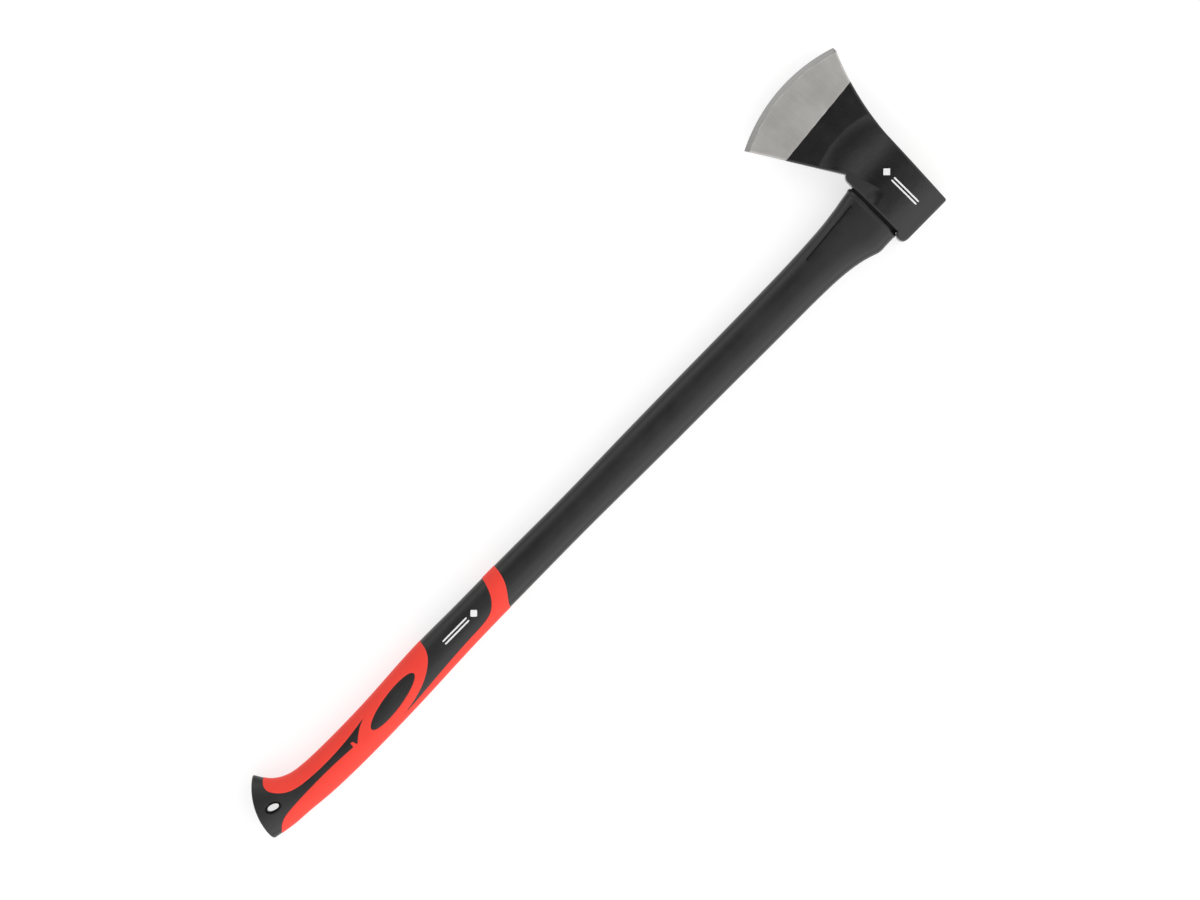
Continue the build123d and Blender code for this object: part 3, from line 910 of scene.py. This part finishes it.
def make_head(paint, steel, honed, printed):
    """Forged head: painted cheeks, a ground bit, a honed bevel coloured darker as painted shade, and a
    tapered eye.
    """
    grid = head_grid()
    points = grid.reshape(-1, 3)
    plane = points[:, :2]
    bevel = np.linalg.norm(plane - np.array(EDGE_CENTRE), axis=1) - BEVEL_RADIUS
    table, faces = ring_table(grid, bevel, bare_distance(plane), eye_distance(points),
                              mark_distance(points, *HEAD_PRINT))
    table, faces = cut_all(table, faces, ((BEVEL, (0.0,)), (PAINT, (0.0, PAINT_RIM)),
                                          (EYE, (-EYE_CHAMFER, 0.0)), (HEAD_MARK, (0.0,))))
    sink = PAINT_THICKNESS * smooth(table[:, PAINT] / PAINT_RIM) * (table[:, BEVEL] < -BEVEL_MARGIN)
    sink += np.clip((table[:, EYE] + EYE_CHAMFER) / EYE_CHAMFER, 0, 1) * EYE_CHAMFER
    skin = table[:, :3] - table[:, NORMAL] * sink[:, None]
    kept, which = [], []
    tests = [chosen(table, faces, column) for column in (EYE, BEVEL, PAINT, HEAD_MARK)]
    for face, in_eye, is_bevel, is_bare, is_mark in zip(faces, *tests):
        if not in_eye:
            kept.append(face)
            # the bevel's faces take the honed finish, whose darker colour is painted shade
            which.append(HONED_SHADED if is_bevel else GROUND if is_bare else PRINTED if is_mark else PAINTED)
    rings, count = grid.shape[:2]
    poll, edge = cap(0, count, True), cap((rings - 1) * count, count, False)
    which += [PAINTED] * len(poll) + [HONED_SHADED] * len(edge)
    make_piece("maul_head_forging", skin, kept + poll + edge, [paint, steel, honed, printed],
               which=which, node="maul_head", bridge=True, sharp=24.0)


# ---------------------------------------------------------------- studio
VIEW_CENTRE = (-0.0268, -0.0270)    # the picture's middle, on the tool's plane of symmetry (metres)
VIEW_WIDTH = 1.164                  # width of the picture at that plane (metres)
VIEW_TURN = -135.35                 # the handle's diagonal in the picture
LENS, SENSOR = 300.0, 36.0
WHITE = (1.0, 1.0, 1.0, 1.0)
FLOOR_HALF_SIZE = 40.0
FLOOR_GREY = 0.42
FLOOR_GLOW = 0.66                   # a lit table, which keeps the shadows faint
# Strength of the surroundings, as a sum of terms: a direction, the cosines of the angles from it
# between which the term changes, and its values there.
SURROUNDINGS = (
    ((-0.93, 0.0, 0.37), -0.40, 0.80, 0.62, 1.45),
    ((0.14, 0.0, 0.99), 0.9135, 0.9877, 0.0, -0.86),
)
# Soft lights: name, direction from the tool, distance (metres), size (metres) and power (watts).
LIGHTS = (
    ("poll_side", (-1.0, 0.0, 0.5), 2.4, (2.4, 0.6), 4.0),
    ("edge_side", (1.0, -0.2, 0.8), 2.6, (2.0, 1.2), 7.0),
)


def soft_surroundings():
    """Soft white light from all round: brightest low on the poll's side, weakest just past the zenith."""
    world = bpy.data.worlds.new("studio")
    world.use_nodes = True
    nodes, links = world.node_tree.nodes, world.node_tree.links
    direction = nodes.new("ShaderNodeTexCoord").outputs["Generated"]
    total = None
    for towards, start, end, low, high in SURROUNDINGS:
        dot = nodes.new("ShaderNodeVectorMath")
        dot.operation = "DOT_PRODUCT"
        dot.inputs[1].default_value = Vector(towards).normalized()
        links.new(direction, dot.inputs[0])
        step = nodes.new("ShaderNodeMapRange")
        step.interpolation_type = "SMOOTHSTEP"
        set_range(step, start, end, low, high)
        links.new(dot.outputs["Value"], step.inputs["Value"])
        if total is None:
            total = step.outputs["Result"]
        else:
            both = nodes.new("ShaderNodeMath")
            links.new(total, both.inputs[0])
            links.new(step.outputs["Result"], both.inputs[1])
            total = both.outputs[0]
    nodes["Background"].inputs["Color"].default_value = WHITE
    links.new(total, nodes["Background"].inputs["Strength"])
    return world


def make_floor():
    """Pale level floor that glows a little, at the height where the CAD's floor is."""
    half = FLOOR_HALF_SIZE
    mesh = bpy.data.meshes.new("floor")
    corners = [(-half, -half, 0), (half, -half, 0), (half, half, 0), (-half, half, 0)]
    mesh.from_pydata(corners, [], [(0, 1, 2, 3)])
    floor = bpy.data.objects.new("floor", mesh)
    bpy.context.scene.collection.objects.link(floor)
    finish = Finish("floor", (FLOOR_GREY, FLOOR_GREY, FLOOR_GREY), 0.9, specular=0.0)
    finish.shader.inputs["Emission Color"].default_value = WHITE
    finish.shader.inputs["Emission Strength"].default_value = FLOOR_GLOW
    mesh.materials.append(finish.material)


def make_light(name, middle, direction, distance, size, power):
    """Rectangular soft light that faces the tool."""
    light = bpy.data.lights.new(name, "AREA")
    light.shape = "RECTANGLE"
    light.size, light.size_y = size
    light.energy = power
    lamp = bpy.data.objects.new(name, light)
    lamp.location = middle + Vector(direction).normalized() * distance
    lamp.rotation_mode = "QUATERNION"
    lamp.rotation_quaternion = (middle - lamp.location).to_track_quat("-Z", "Y")
    bpy.context.scene.collection.objects.link(lamp)


def make_camera(middle):
    """Camera straight above, with a long lens."""
    camera = bpy.data.cameras.new("camera")
    camera.lens, camera.sensor_width = LENS, SENSOR
    camera.clip_end = 100.0
    eye = bpy.data.objects.new("camera", camera)
    eye.location = middle + Vector((0, 0, VIEW_WIDTH * LENS / SENSOR))
    eye.rotation_euler = (0.0, 0.0, radians(VIEW_TURN))
    bpy.context.scene.collection.objects.link(eye)
    bpy.context.scene.camera = eye


def make_studio():
    """Floor, lights and camera."""
    scene = bpy.context.scene
    scene.view_settings.view_transform = "Standard"
    scene.world = soft_surroundings()
    make_floor()
    middle = Vector((*VIEW_CENTRE, MIDDLE_Z))
    for name, direction, distance, size, power in LIGHTS:
        make_light(name, middle, direction, distance, size, power)
    make_camera(middle)


# ---------------------------------------------------------------- the whole tool
printed = white_print()
make_handle(jacket_plastic(), grip_rubber(), printed)
make_head(head_paint(), ground_steel(), honed_steel_painted_shade(), printed)
for node, finish in (("fibreglass_core", glass_fibre()), ("eye_resin", cast_resin()),
                     ("sealing_ring", seal_rubber())):
    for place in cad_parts[node].material_slots:
        place.material = finish
make_studio()

bpy.context.view_layer.update()
